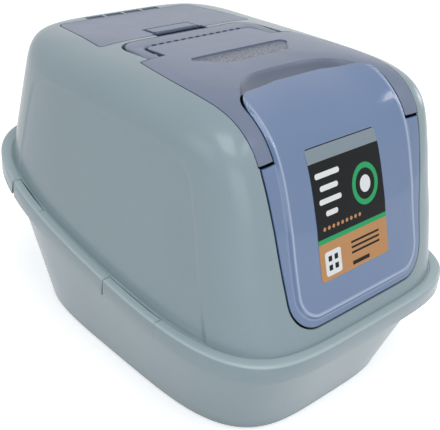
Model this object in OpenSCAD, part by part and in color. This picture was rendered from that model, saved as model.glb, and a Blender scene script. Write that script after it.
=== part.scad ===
// Hooded litter box: tray, hood with a lifting visor and swing door, flush carry handle, and a lidded
// compartment for the carbon filter and scoop. Millimetres, +Z up, the door faces -Y.

/* [Ledge and skirt] */
// Overall width over the skirt
skirt_w = 496; // [470:1:520]
// Overall length over the skirt
skirt_l = 657; // [630:1:690]
// Depth of the skirt band below the ledge
skirt_h = 28; // [22:1:34]
// Width of the ledge between the skirt's outer face and the hood's wall
ledge_w = 16; // [14:0.5:20]
// Height of the ledge at the front
ledge_front = 174; // [160:1:190]
// How far the ledge has risen at the very back
ledge_rise = 102; // [60:1:110]
// Squareness of the outline seen from above
plan_power = 4.8; // [4:0.1:6]

/* [Hood] */
// Height of the roof's highest place
hood_h = 474.5; // [465:0.5:484]
// Wall of the hood
hood_wall = 3; // [2.5:0.1:4]
// Thickness of the seat under the ledge
seat_t = 6; // [5.6:0.1:8]
// Shoulder height at the sides, where the wall turns into the roof
side_shoulder = 380; // [370:1:390]
// Shoulder height at the front
front_shoulder = 316; // [306:1:326]
// Shoulder height at the back
rear_shoulder = 412; // [400:1:418]
// How far the side walls have leaned in at the shoulder
side_lean = 12; // [8:1:18]
// How far the front wall has leaned in at the shoulder
front_lean = 50; // [42:1:54]
// How much the front wall is hollowed between its foot and its shoulder
front_hollow = 3; // [0:1:8]
// How far the back wall has leaned in at the shoulder
rear_lean = 30; // [20:1:36]
// Fall of the roof towards the back, per mm
roof_fall = 0.067; // [0.05:0.001:0.075]

/* [Tray] */
// Width of the tray's bottom
tray_w = 392; // [370:1:400]
// Length of the tray's bottom
tray_l = 536; // [510:1:550]
// Wall of the tray
tray_wall = 3; // [2.5:0.1:4]
// Width of the tray's rim, which the hood sits on
rim_w = 7; // [6:0.5:9]
// Gap between the rim and the inside of the skirt
rim_side_gap = 1.6; // [1.2:0.1:3]
// Gap between the rim and the hood's seat
seat_gap = 0.3; // [0.2:0.05:0.5]

/* [Visor] */
// Half width of the visor across the top of the door
visor_half = 162; // [155:1:166]
// How far the rear edge of the visor's shoulders lies behind the middle of the box
visor_rear = 17; // [15:1:19]
// Height of the ends of the visor's cheeks
cheek_end = 411; // [408:1:413]
// Gap along the visor's sides
visor_gap = 1.5; // [1:0.1:2.5]
// Gap behind the visor's shoulders, which swing up and back
shoulder_gap = 2.6; // [2.4:0.1:4]
// How far the visor opens
visor_opening = 48; // [40:1:48]

/* [Door] */
// Height of the lower edge of the opening for the door
sill = 191; // [188:1:197]
// Half width of the door's raised panel
panel_half = 133; // [125:1:136]
// Gap all round the door's flange
door_gap = 3; // [2.6:0.1:3.4]
// Gap between the visor's cheeks and the top of the door's flange
cheek_gap = 4.4; // [4:0.1:5]
// Half width of the opening under the visor's cheeks
opening_half = 161; // [158:1:162]
// Wall of the door
door_wall = 2.5; // [2:0.1:3]
// How far the raised panel stands proud
panel_rise = 3; // [2:0.1:4]
// Where the panel's top edge lies in front of the middle of the box
panel_top = 134; // [131:1:137]
// Radius of the opening's lower corners
sill_r = 50; // [44:1:54]
// Width of the label on the door
label_w = 142; // [120:1:148]
// Height of the label
label_h = 166; // [140:1:168]
// How far the label's middle lies to the left of the door's
label_shift = 9; // [0:1:12]
// Height of the label's lower edge
label_low = 245; // [244:1:252]

/* [Handle] */
// Half width over the handle's legs
handle_half = 131; // [128:1:133]
// Width of the handle's band
handle_band = 24; // [20:1:26]
// Thickness of the handle
handle_t = 9; // [8:0.5:10]
// Rear edge of the handle
handle_rear = 97; // [94:1:98]
// Gap round the handle
handle_gap = 2.5; // [2:0.1:3]
// Depth of the well under the handle
well_depth = 36; // [34:1:42]

/* [Hinges] */
// Radius of the pins of the visor and the handle
pin_r = 2.5; // [2:0.1:3]
// Radius of the door's pins
door_pin_r = 2.4; // [2:0.1:2.5]
// Radius of the rod that the lid turns on
rod_r = 2.5; // [2:0.1:2.8]
// Radius of the side clips' pins
clip_pin_r = 1.2; // [1:0.05:1.3]
// Running clearance of every pin in its bore
running = 0.05; // [0.03:0.01:0.08]

/* [Compartment] */
// Half width of the lid at its front edge
lid_front_half = 147; // [142:1:150]
// Half width of the lid at its rear edge
lid_rear_half = 131; // [126:1:136]
// Front edge of the lid
lid_front = 109; // [107:1:112]
// Rear edge of the lid
lid_rear = 243; // [240:1:246]
// Gap round the lid
lid_gap = 1.8; // [1.7:0.1:2.2]
// Inner width of the compartment's tub
tub_w = 244; // [236:1:250]
// Inner length of the compartment's tub
tub_l = 104; // [98:1:108]
// Depth of the tub
tub_depth = 62; // [50:1:70]
// Wall of the tub
tub_wall = 2.2; // [1.8:0.1:3]
// Width of the carbon filter
filter_w = 120; // [90:1:130]
// Length of the carbon filter
filter_l = 84; // [70:1:88]
// Thickness of the carbon filter
filter_t = 9; // [5:0.5:12]

/* [Clips] */
// Front end of the front clips
clip_front = -150; // [-160:1:-140]
// Rear end of the front clips
clip_front_end = -38; // [-50:1:-30]
// Front end of the rear clips
clip_rear = 130; // [120:1:140]
// Rear end of the rear clips
clip_rear_end = 204; // [190:1:206]
// Thickness of a clip
clip_t = 3; // [2.5:0.1:3.5]
// Gap round a clip
clip_gap = 0.6; // [0.5:0.1:1]

/* [Hidden] */

sage = [0.60, 0.66, 0.66];
slate = [0.53, 0.56, 0.62];
smoke = [0.44, 0.53, 0.66, 0.8];
charcoal = [0.15, 0.15, 0.15];
steel = [0.75, 0.75, 0.77];

steps = 72;                 // points round every outline
skin_gap = 0.05;            // between a skin or pad and what it is stuck to
big = 900;                  // longer than the box
far = 400;
base_a = skirt_w/2 - ledge_w;
base_b = skirt_l/2 - ledge_w;
ledge_turn = 200;           // the ledge is level up to this far in front of the middle
tray_power = 4;             // squareness of the tray's bottom
tray_back = -5;             // the tray's bottom sits a little forward
tray_round = 10;            // rounding of the tray's lower edge
groove = 2;                 // width and depth of the groove round the hood's foot
roof_turn = 60;             // the roof starts to fall here
front_square = 6;           // squareness of the front above its foot
blend = 7.5;                // how fast the side turns into the front and the back
// Squareness of the roof's edge, [along the outline's axis, upwards]
side_edge = [4.2, 4.4];
front_edge = [3.2, 4.3];
rear_edge = [20, 3.9];
turns = [4, 10, 17, 25, 34, 43, 52, 61, 69, 76, 82, 86.5, 89, 89.9];
wall_steps = [0, 0.33, 0.66, 1];

// The hinge line that the visor and the handle share
hinge_y = 34;
hinge_z = hood_h - 18.5;
ear_t = 5;
ear_r = 6;
tongue_half = handle_half - handle_band - handle_gap;
handle_inner = handle_rear - 32;
tongue_rear = handle_inner - handle_gap;
handle_top = hood_h - 9.5;
leg_end = hinge_y - 13;
well_half = handle_half + handle_gap;
well_rear = handle_rear + handle_gap;
well_floor = hood_h - 7 - well_depth;
boss_t = 8;
boss_r = 5;

// The door's pivot, behind the visor's cheeks
pivot_y = -214;
pivot_z = hood_h - 56.5;
pivot_turn = -30;           // the hinge faces slope like the cheeks
lug_t = 5;
lug_x = panel_half - 8;
lug_s = 10;
lug_face = 6;
panel_side_gap = 2.5;
bearing_x = panel_half + panel_side_gap + 0.5;
bearing_t = 11;
bearing_s = 9;
bearing_face = 4.5;
opening_taper = 17;         // the opening narrows towards the sill
taper_top = 400;
panel_sill = sill + 12;
panel_taper = 4;
panel_bow = 10;
corner_back = 13;           // the panel's corners turn this far inside its top edge
arch_rear = -99;
arch_half = 118;
arch_drop = 9;
sweep_gap = 1;              // between the arch and the circle that the door's top edge turns on
grip_y = -38;
grip_front = 66;
grip_back = 92;
grip_w = 44;
grip_depth = 1.5;

// The lid and its compartment lie in a frame that is tilted with the roof
tilt = atan(roof_fall);
lid_mid = (lid_front + lid_rear)/2;
lid_z = hood_h - fall(lid_mid);
lip_top = -7.6;
lip_t = 2.6;
lip_w = 7;
flange_t = 2;
rod_y = lid_rear + 9;
rod_z = hood_h - fall(rod_y) - 5;
slot_w = 33;
slot_pitch = 37.5;
slot_l = 5.5;                // from the rod to the slots' rear edge
slots = [-1.5, -0.5, 0.5, 1.5];
eye_w = slot_w - 2;
eye_r = 4.4;
arm_t = 2.5;
arm_top = rod_z + 2;
arm_seat = 7;               // length of the seat under the lid for each hinge arm
rest_x = lid_front_half - 8;
rest_w = 8;
rest_l = 5;
latch_half = 44;
latch_l = 30;
latch_t = 1.2;
finger_half = 50;
finger_l = 7;
label_r = 4;  // radius of the label's corners
finger_z = hood_h - fall(lid_front) + lip_top;  // floor of the finger hollow
scoop_w = 96;
scoop_l = 96;

// The side clips
clip_u = 0.6;               // inner edge of a clip, out from the groove
knuckle_r = 2.8;
toe_gap = 0.3;
rim_a = skirt_w/2 - hood_wall - rim_side_gap;
rim_b = skirt_l/2 - hood_wall - rim_side_gap;
rim_drop = seat_t + seat_gap;

function mix(a, b, w) = a + (b - a)*w;
// A point of the squared outline of half sizes 1, at angle q
function squared(n, q) = let (c = cos(q), s = sin(q), r = pow(pow(abs(c), n) + pow(abs(s), n), -1/n))
    [c*r, s*r];
function ledge_z(y) = ledge_front
    + ledge_rise*pow(max(0, y + ledge_turn)/(skirt_l/2 + ledge_turn), 2);
function side_x(y, a = base_a, b = base_b) = a*pow(1 - pow(abs(y)/b, plan_power), 1/plan_power);
function fall(y) = roof_fall*(y + roof_turn + sqrt(pow(y + roof_turn, 2) + roof_turn*roof_turn))/2;

// A ring that follows the ledge, dz above it
function ledge_ring(a, b, dz, n = plan_power) = [for (i = [0:steps - 1])
    let (p = squared(n, 360*i/steps)) [a*p[0], b*p[1], ledge_z(b*p[1]) + dz]];

// One point of the hood's skin, out by off: s runs up the wall, turn goes over the shoulder
function skin_point(off, q, s, turn) = let (
    p = squared(plan_power, q),
    front = p[1] < 0,
    w = pow(abs(p[1]), blend),
    foot = ledge_z((base_b + off)*p[1]),
    shoulder = mix(side_shoulder, front ? front_shoulder : rear_shoulder, w),
    edge = mix(side_edge, front ? front_edge : rear_edge, w),
    h = pow(sin(turn), 2/edge[1]),
    f = pow(cos(turn), 2/edge[0]),
    z = turn == 0 ? mix(foot, shoulder, s) : shoulder + (hood_h + off - shoulder)*h,
    lean = (z - foot)/(shoulder - foot),
    up = min(1, lean),
    o = squared(front ? mix(plan_power, front_square, min(1, 2*up)) : plan_power, q),
    a = (base_a + off - side_lean*lean)*f,
    hollow = front ? front_hollow*sin(180*up) : 0,
    b = (base_b + off - (front ? front_lean : rear_lean)*lean - hollow)*f,
    y = b*o[1])
    [a*o[0], y, z - fall(y)*pow(h, 4)];

// A closed solid over rings of points, each end closed by a fan
module loft(rings) {
    n = len(rings);
    m = len(rings[0]);
    mids = [for (e = [rings[0], rings[n - 1]]) [for (k = [0:2]) [for (p = e) 1]*[for (p = e) p[k]]/m]];
    points = concat([for (r = rings) for (p = r) p], mids);
    sides = [for (k = [0:n - 2]) for (i = [0:m - 1]) let (j = (i + 1) % m)
        each [[k*m + i, (k + 1)*m + i, k*m + j], [k*m + j, (k + 1)*m + i, (k + 1)*m + j]]];
    ends = [for (i = [0:m - 1]) let (j = (i + 1) % m)
        each [[n*m, i, j], [n*m + 1, (n - 1)*m + j, (n - 1)*m + i]]];
    polyhedron(points = points, faces = concat(sides, ends), convexity = 6);
}

// The space inside the hood's skin moved out by off, and down past the ledge by under
module skin(off, under = 0) {
    angles = [for (i = [0:steps - 1]) 360*i/steps];
    foot = [for (q = angles) skin_point(off, q, 0, 0)];
    walls = [for (s = wall_steps) [for (q = angles) skin_point(off, q, s, 0)]];
    roof = [for (t = turns) [for (q = angles) skin_point(off, q, 1, t)]];
    loft(concat(under > 0 ? [[for (p = foot) [p[0], p[1], p[2] - under]]] : [], walls, roof));
}

// Keeps the booleans of a moulded shell in one mesh
module moulded() {
    resize([0, 0, 0])
        children();
}

module shell(outer, inner) {
    difference() {
        skin(outer);
        skin(inner, far);
    }
}

// Half width of the visor's outline at y
function visor_x(y) = let (s = max(y, -232) + 90) visor_half - 0.074*s - 0.00057*s*s;

module visor_plan(gap, rear_gap) {
    ys = [for (k = [0:12]) mix(visor_rear + rear_gap, -232, k/12)];
    polygon(concat([for (y = ys) [visor_x(y) + gap, y]], [[visor_x(-232) + gap, -far]],
        [[-visor_x(-232) - gap, -far]], [for (k = [12:-1:0]) [-visor_x(ys[k]) - gap, ys[k]]]));
}

module tongue_plan() {
    r = 9;
    hull() {
        for (x = [-tongue_half + r, tongue_half - r])
            translate([x, tongue_rear - r])
                circle(r, $fn = 32);
        translate([-tongue_half, 0])
            square([2*tongue_half, 10]);
    }
}

// A U whose sides close in by taper towards its bottom, at height low
module round_sill(half, low, r, taper) {
    hull() {
        for (x = [-half + taper + r, half - taper - r])
            translate([x, low + r])
                circle(r, $fn = 40);
        translate([-half, taper_top])
            square([2*half, big]);
    }
}

// A prism along Y of an outline in X and Z
module facing(from, to) {
    translate([0, to, 0])
        rotate([90, 0, 0])
            linear_extrude(to - from)
                children();
}

module panel_plan(gap) {
    r = 34;
    half = panel_half + gap;
    top = -panel_top + gap;
    hull() {
        for (x = [-half + r, half - r])
            translate([x, top - panel_bow - r])
                circle(r, $fn = 40);
        translate([-half/3, top - panel_bow])
            square([2*half/3, panel_bow]);
        translate([-half, -far])
            square([2*half, 100]);
    }
}

module arch_plan() {
    hull() {
        for (x = [-arch_half + 30, arch_half - 30])
            translate([x, arch_rear - 45])
                circle(30, $fn = 40);
        translate([-40, arch_rear - 15])
            square([80, 15]);
        translate([-arch_half, -far])
            square([2*arch_half, 100]);
    }
}

module grip_plan() {
    hull() {
        for (x = [-grip_back + 8, grip_back - 8])
            translate([x, grip_y + grip_w/2 - 8])
                circle(8, $fn = 24);
        for (x = [-grip_front + 12, grip_front - 12])
            translate([x, grip_y - grip_w/2 + 12])
                circle(12, $fn = 24);
    }
}

module lid_plan(gap) {
    r = 12;
    offset(r = gap)
        hull() {
            for (x = [-lid_front_half + 5, lid_front_half - 5])
                translate([x, lid_front + 5])
                    circle(5, $fn = 24);
            for (x = [-lid_rear_half + r, lid_rear_half - r])
                translate([x, lid_rear - r])
                    circle(r, $fn = 32);
        }
}

module upright(low = 0) {
    translate([0, 0, low])
        linear_extrude(big)
            children();
}

// The tilted frame of the lid
module on_roof() {
    translate([0, lid_mid, lid_z])
        rotate([-tilt, 0, 0])
            children();
}

// A block of full width in x and y about a centre line
module block(w, l, h) {
    translate([-w/2, -l/2, 0])
        cube([w, l, h]);
}

// Places a child, drawn with u outwards along X and its length along Y, on the skirt's side
module on_side(y0, y1) {
    p0 = [side_x(y0), y0, ledge_z(y0)];
    p1 = [side_x(y1), y1, ledge_z(y1)];
    d = p1 - p0;
    flat = sqrt(d[0]*d[0] + d[1]*d[1]);
    translate((p0 + p1)/2)
        rotate([0, 0, -atan2(d[0], d[1])])
            rotate([atan2(d[2], flat), 0, 0])
                children();
}

function clip_length(y0, y1) = norm([side_x(y1) - side_x(y0), y1 - y0, ledge_z(y1) - ledge_z(y0)]);

module clip_section() {
    start = groove + clip_u + knuckle_r;
    translate([start, -clip_t])
        square([ledge_w - start, clip_t]);
    translate([ledge_w - clip_t, -skirt_h])
        square([clip_t, skirt_h]);
}

// One side clip with its knuckle bored for its pin, and a toe that bears on the tray's rim
module clip(y0, y1) {
    l = clip_length(y0, y1);
    toe_u = skirt_w/2 - base_a - (skirt_w/2 - rim_a) + toe_gap;
    on_side(y0, y1)
        translate([0, l/2, 0])
            rotate([90, 0, 0])
                linear_extrude(l)
                    difference() {
                        union() {
                            clip_section();
                            translate([groove + clip_u + knuckle_r, -knuckle_r])
                                circle(knuckle_r, $fn = 32);
                            translate([toe_u, -skirt_h + 4])
                                square([ledge_w - clip_t/2 - toe_u, 5]);
                        }
                        translate([groove + clip_u + knuckle_r, -knuckle_r])
                            circle(clip_pin_r + running, $fn = 24);
                    }
}

module clip_notch(y0, y1) {
    l = clip_length(y0, y1) + 2*clip_gap;
    on_side(y0, y1)
        translate([groove + clip_u - clip_gap, -l/2, -skirt_h - 8])
            cube([ledge_w + 10, l, skirt_h + 16]);
}

module clip_pin(y0, y1, r) {
    l = clip_length(y0, y1) + 10;
    on_side(y0, y1)
        translate([groove + clip_u + knuckle_r, l/2, -knuckle_r])
            rotate([90, 0, 0])
                cylinder(r = r, h = l, $fn = 24);
}

module across(x, r, l) {
    translate([x, hinge_y, hinge_z])
        rotate([0, 90, 0])
            cylinder(r = r, h = l, $fn = 40);
}

module tray() {
    a0 = tray_w/2;
    b0 = tray_l/2;
    drop = rim_drop + 7;
    in_a = rim_a - rim_w;
    in_b = rim_b - rim_w;
    floor_in = tray_round + tray_wall;
    color(sage)
        moulded()
            loft([
                tray_ring(a0 - tray_round, b0 - tray_round, 0),
                tray_ring(a0 - 0.3*tray_round, b0 - 0.3*tray_round, 0.2*tray_round),
                tray_ring(a0, b0, tray_round),
                ledge_ring(in_a, in_b, -drop - 4),
                ledge_ring(rim_a - 1, rim_b - 1, -drop),
                ledge_ring(rim_a, rim_b, -drop + 2),
                ledge_ring(rim_a, rim_b, -rim_drop),
                ledge_ring(in_a + 1, in_b + 1, -rim_drop),
                ledge_ring(in_a + 1 - tray_wall, in_b + 1 - tray_wall, -drop - 4),
                tray_ring(a0 - tray_wall, b0 - tray_wall, floor_in),
                tray_ring(a0 - floor_in, b0 - floor_in, tray_wall)]);
}

function tray_ring(a, b, z) = [for (i = [0:steps - 1])
    let (p = squared(tray_power, 360*i/steps)) [a*p[0], b*p[1] + tray_back, z]];

module skirt_outer() {
    a = skirt_w/2;
    b = skirt_l/2;
    loft([
        ledge_ring(a, b, -skirt_h),
        ledge_ring(a, b, -2.5),
        ledge_ring(a - 1.8, b - 1.8, 0),
        ledge_ring(base_a + groove, base_b + groove, 0),
        ledge_ring(base_a + groove - 0.6, base_b + groove - 0.6, -1),
        ledge_ring(base_a - 2, base_b - 2, -1)]);
}

module skirt_inner() {
    a = skirt_w/2 - hood_wall;
    b = skirt_l/2 - hood_wall;
    loft([
        ledge_ring(a, b, -skirt_h - far/4),
        ledge_ring(a, b, -seat_t),
        ledge_ring(base_a - 12, base_b - 12, -seat_t)]);
}

module handle_well(grow, low) {
    translate([-well_half - grow, visor_rear - 1 - grow, low])
        cube([2*(well_half + grow), well_rear - visor_rear + 1 + 2*grow, big]);
}

module hood() {
    color(sage)
        moulded()
            difference() {
                union() {
                    difference() {
                        union() {
                            skin(0, seat_t/2);
                            skirt_outer();
                        }
                        skirt_inner();
                        skin(-hood_wall, far);
                        upright(far)
                            lid_plan(lid_gap);
                    }
                    intersection() {
                        skin(-0.5);
                        handle_well(hood_wall, well_floor - hood_wall);
                    }
                    lid_lip();
                    intersection() {
                        skin(-0.5);
                        translate([-finger_half - hood_wall, well_rear, finger_z - hood_wall])
                            cube([2*(finger_half + hood_wall), lid_front - lid_gap - well_rear + 0.1, far]);
                    }
                }
                translate([-finger_half, well_rear - 1, finger_z])
                    cube([2*finger_half, lid_front - well_rear + 1, far]);
                intersection() {
                    upright()
                        visor_plan(visor_gap, shoulder_gap);
                    facing(-far, visor_rear + shoulder_gap)
                        opening_outline();
                }
                handle_well(0, well_floor);
                for (k = slots)
                    translate([k*slot_pitch - slot_w/2, lid_rear - 1, rod_z - 9])
                        cube([slot_w, rod_y - lid_rear + 1 + slot_l, 40]);
                translate([-slot_pitch*2 - 8, rod_y, rod_z])
                    rotate([0, 90, 0])
                        cylinder(r = rod_r + 0.1, h = 4*slot_pitch + 16, $fn = 32);
                for (m = [0, 1])
                    mirror([m, 0, 0]) {
                        across(well_half - 1, pin_r + 0.1, hood_wall + boss_t);
                        clip_notch(clip_front, clip_front_end);
                        clip_notch(clip_rear, clip_rear_end);
                        clip_pin(clip_front, clip_front_end, clip_pin_r + 0.1);
                        clip_pin(clip_rear, clip_rear_end, clip_pin_r + 0.1);
                    }
            }
}

// The opening seen from the front: the door's U, and the visor's full width above it
module opening_outline() {
    round_sill(opening_half, sill, sill_r, opening_taper);
    translate([-far/2, cheek_end - 2])
        square([far, big]);
}

// The stepped lip that carries the tub, and the wall that joins it to the roof
module lid_lip() {
    difference() {
        intersection() {
            skin(-0.5);
            upright(far)
                lid_plan(lid_gap + hood_wall);
            on_roof()
                translate([0, 0, lip_top - lip_t])
                    block(far, far, far);
        }
        intersection() {
            upright(far)
                lid_plan(lid_gap);
            on_roof()
                translate([0, 0, lip_top])
                    block(far, far, far);
        }
        upright(far)
            offset(r = -lip_w)
                lid_plan(0);
        intersection() {
            on_roof()
                translate([0, (lid_rear - lid_front)/2, -far/2])
                    block(far, 2*lip_w, far);
            upright(far)
                lid_plan(0);
        }
    }
}

module visor_area() {
    upright()
        union() {
            visor_plan(0, 0);
            tongue_plan();
        }
}

module visor() {
    color(slate)
        moulded()
            difference() {
                union() {
                    intersection() {
                        shell(0, -hood_wall);
                        visor_area();
                    }
                    intersection() {
                        shell(-arch_drop, -arch_drop - hood_wall);
                        upright()
                            offset(r = hood_wall)
                                arch_plan();
                        visor_area();
                    }
                    arch_wall();
                    visor_pads();
                }
                intersection() {
                    difference() {
                        skin(20);
                        skin(-arch_drop, far);
                    }
                    upright()
                        arch_plan();
                }
                upright()
                    panel_plan(panel_side_gap);
                translate([-far, -far, -far])
                    cube([2*far, 2*far, far + cheek_end]);
                door_sweep();
                bearing_blocks();
                intersection() {
                    difference() {
                        skin(20);
                        skin(-grip_depth, far);
                    }
                    upright()
                        grip_plan();
                }
            }
}

// The space that the top edge of the door's panel turns through
module door_sweep() {
    half = panel_half + panel_side_gap;
    high = hood_h + panel_rise - pivot_z;
    intersection() {
        turned(half, norm([pivot_y + panel_top, high]) + sweep_gap);
        upright()
            arch_plan();
    }
    turned(half, norm([pivot_y + panel_top + corner_back, high]) + sweep_gap);
}

module turned(half, r) {
    translate([-half, pivot_y, pivot_z])
        rotate([0, 90, 0])
            cylinder(r = r, h = 2*half, $fn = 120);
}

// The step between the visor's top and the lowered arch above the door
module arch_wall() {
    intersection() {
        shell(-0.2, -arch_drop - hood_wall);
        upright()
            difference() {
                offset(r = hood_wall)
                    arch_plan();
                arch_plan();
            }
        visor_area();
    }
}

// Flat seats under the visor for the hinge ears and the door's bearings
module visor_pads() {
    for (m = [0, 1])
        mirror([m, 0, 0])
            intersection() {
                skin(-1);
                union() {
                    translate([tongue_half - ear_t - 1, hinge_y - ear_r, hinge_z + ear_r - 1])
                        cube([ear_t, 2*ear_r, 20]);
                    at_pivot()
                        translate([bearing_x, -bearing_face - 20, -bearing_s/2])
                            cube([bearing_t, 20, bearing_s]);
                }
            }
}

module visor_hinge_ears() {
    color(slate)
        for (m = [0, 1])
            mirror([m, 0, 0])
                translate([tongue_half - ear_t - 1, 0, 0])
                    difference() {
                        union() {
                            across(0, ear_r, ear_t);
                            translate([0, hinge_y - ear_r, hinge_z])
                                cube([ear_t, 2*ear_r, ear_r - 1]);
                        }
                        across(-1, pin_r + running, ear_t + 2);
                        translate([-1, hinge_y - 2*ear_r, hinge_z + ear_r - 1])
                            cube([ear_t + 2, 4*ear_r, ear_r]);
                    }
}

module swing_door() {
    color(smoke)
        moulded()
            difference() {
                union() {
                    intersection() {
                        skin(0);
                        facing(-far, -100)
                            round_sill(opening_half - door_gap, sill + door_gap, sill_r - door_gap,
                                opening_taper);
                        translate([-far, -far, 0])
                            cube([2*far, 2*far, cheek_end - cheek_gap]);
                    }
                    intersection() {
                        skin(panel_rise);
                        facing(-far, -50)
                            round_sill(panel_half, panel_sill, sill_r - 10, panel_taper);
                        upright()
                            panel_plan(0);
                    }
                }
                lug_blocks();
                difference() {
                    union() {
                        skin(-door_wall, far);
                        intersection() {
                            skin(panel_rise - door_wall);
                            facing(-far, -50)
                                round_sill(panel_half - door_wall, panel_sill + door_wall,
                                    sill_r - 12, panel_taper);
                            upright()
                                panel_plan(-door_wall);
                        }
                    }
                    door_pads();
                }
            }
}

module at_pivot() {
    translate([0, pivot_y, pivot_z])
        rotate([pivot_turn, 0, 0])
            children();
}

module door_pads() {
    for (m = [0, 1])
        mirror([m, 0, 0])
            at_pivot()
                translate([lug_x, -lug_face - 20, -lug_s/2])
                    cube([lug_t, 20, lug_s]);
}

module lug_blocks() {
    for (m = [0, 1])
        mirror([m, 0, 0])
            at_pivot()
                translate([lug_x, -lug_face, -lug_s/2])
                    cube([lug_t, lug_face + lug_s/2, lug_s]);
}

module door_hinge_lugs() {
    color(smoke) {
        lug_blocks();
        for (m = [0, 1])
            mirror([m, 0, 0])
                translate([lug_x + lug_t - 1, pivot_y, pivot_z])
                    rotate([0, 90, 0])
                        cylinder(r = door_pin_r, h = bearing_x + bearing_t - lug_x - lug_t + 1, $fn = 40);
    }
}

module bearing_blocks() {
    for (m = [0, 1])
        mirror([m, 0, 0])
            at_pivot()
                translate([bearing_x, -bearing_face, -bearing_s/2])
                    cube([bearing_t, bearing_face + bearing_s/2, bearing_s]);
}

module door_bearings() {
    color(slate)
        difference() {
            bearing_blocks();
            translate([-bearing_x - bearing_t - 1, pivot_y, pivot_z])
                rotate([0, 90, 0])
                    cylinder(r = door_pin_r + running, h = 2*(bearing_x + bearing_t + 1), $fn = 40);
        }
}

module door_label() {
    color(charcoal)
        moulded()
            intersection() {
                shell(panel_rise + 0.5, panel_rise + skin_gap);
                facing(-far, -100)
                    translate([-label_shift - label_w/2 + label_r, label_low + label_r])
                        offset(r = label_r)
                            square([label_w - 2*label_r, label_h - 2*label_r]);
            }
}

// The flat C of the handle, seen from above
module handle_plan() {
    r = 30;
    rows = handle_rear - leg_end;
    difference() {
        union() {
            translate([-handle_half, leg_end])
                square([2*handle_half, rows - r]);
            translate([-handle_half + r, leg_end])
                square([2*(handle_half - r), rows]);
            for (x = [-handle_half + r, handle_half - r])
                translate([x, handle_rear - r])
                    circle(r, $fn = 48);
        }
        translate([-handle_half + handle_band, leg_end - 1])
            square([2*(handle_half - handle_band), handle_inner - leg_end + 1 - 10]);
        translate([-handle_half + handle_band + 10, leg_end - 1])
            square([2*(handle_half - handle_band - 10), handle_inner - leg_end + 1]);
        for (x = [-handle_half + handle_band + 10, handle_half - handle_band - 10])
            translate([x, handle_inner - 10])
                circle(10, $fn = 32);
    }
}

module carry_handle() {
    color(slate)
        difference() {
            union() {
                translate([0, 0, handle_top - handle_t])
                    linear_extrude(handle_t)
                        handle_plan();
                for (x = [-handle_half, handle_half - handle_band])
                    across(x, handle_top - hinge_z, handle_band);
            }
            across(-handle_half - 1, pin_r + running, 2*handle_half + 2);
        }
}

module handle_pins() {
    inner = tongue_half - ear_t - 3;
    color(steel)
        for (m = [0, 1])
            mirror([m, 0, 0])
                across(inner, pin_r, well_half + hood_wall + boss_t - 2 - inner);
}

module pin_bosses() {
    color(sage)
        for (m = [0, 1])
            mirror([m, 0, 0])
                difference() {
                    across(well_half + hood_wall, boss_r, boss_t);
                    across(well_half, pin_r + running, hood_wall + boss_t + 2);
                }
}

module storage_lid() {
    color(slate)
        moulded()
            difference() {
                union() {
                    intersection() {
                        shell(0, -hood_wall);
                        upright(far)
                            difference() {
                                lid_plan(0);
                                translate([-finger_half, lid_front - 1])
                                    square([2*finger_half, finger_l + 1]);
                            }
                    }
                    lid_pads();
                }
                intersection() {
                    upright(far)
                        translate([-latch_half - 0.3, lid_front])
                            square([2*latch_half + 0.6, latch_l + finger_l + 0.3]);
                    difference() {
                        skin(20);
                        skin(-latch_t, far);
                    }
                }
            }
}

// Seats under the lid for its hinge arms, and two rests that stand on the hood's lip
module lid_pads() {
    intersection() {
        skin(-1);
        union() {
            for (k = slots)
                translate([k*slot_pitch - eye_w/2, lid_rear - arm_seat, arm_top])
                    cube([eye_w, arm_seat - 0.5, 20]);
            for (x = [-1, 1])
                on_roof()
                    translate([x*rest_x - rest_w/2, lid_front + 1 - lid_mid,
                        lip_top + seat_gap])
                        cube([rest_w, rest_l, 20]);
        }
    }
}

// The finger tab that snaps the lid shut, set into the lid's front edge
module lid_latch() {
    color(slate)
        moulded()
            intersection() {
                shell(-0.1, -latch_t + skin_gap);
                upright(far)
                    translate([-latch_half, lid_front + finger_l])
                        square([2*latch_half, latch_l]);
            }
}

module lid_hinge_eyes() {
    color(slate)
        for (k = slots)
            translate([k*slot_pitch - eye_w/2, 0, 0])
                difference() {
                    union() {
                        translate([0, rod_y, rod_z])
                            rotate([0, 90, 0])
                                cylinder(r = eye_r, h = eye_w, $fn = 40);
                        translate([0, lid_rear - arm_seat, arm_top - arm_t])
                            cube([eye_w, rod_y - lid_rear + arm_seat, arm_t]);
                    }
                    translate([-1, rod_y, rod_z])
                        rotate([0, 90, 0])
                            cylinder(r = rod_r + running, h = eye_w + 2, $fn = 40);
                }
}

module lid_hinge_rod() {
    color(steel)
        translate([-slot_pitch*2 - 6, rod_y, rod_z])
            rotate([0, 90, 0])
                cylinder(r = rod_r, h = 4*slot_pitch + 12, $fn = 32);
}

module compartment_tub() {
    color(slate)
        on_roof()
            translate([0, -4, 0])
                difference() {
                    union() {
                        translate([0, 0, lip_top - tub_depth])
                            block(tub_w + 2*tub_wall, tub_l + 2*tub_wall, tub_depth + 1);
                        translate([0, 0, lip_top + seat_gap])
                            block(tub_w + 2*tub_wall + 12, tub_l + 2*tub_wall + 10, flange_t);
                    }
                    translate([0, 0, lip_top - tub_depth + tub_wall])
                        block(tub_w, tub_l, tub_depth + flange_t + 10);
                    translate([-tub_w/2 + 10 + filter_w/2, 0, lip_top - tub_depth - 1])
                        block(filter_w - 12, filter_l - 12, tub_wall + 2);
                }
}

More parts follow.
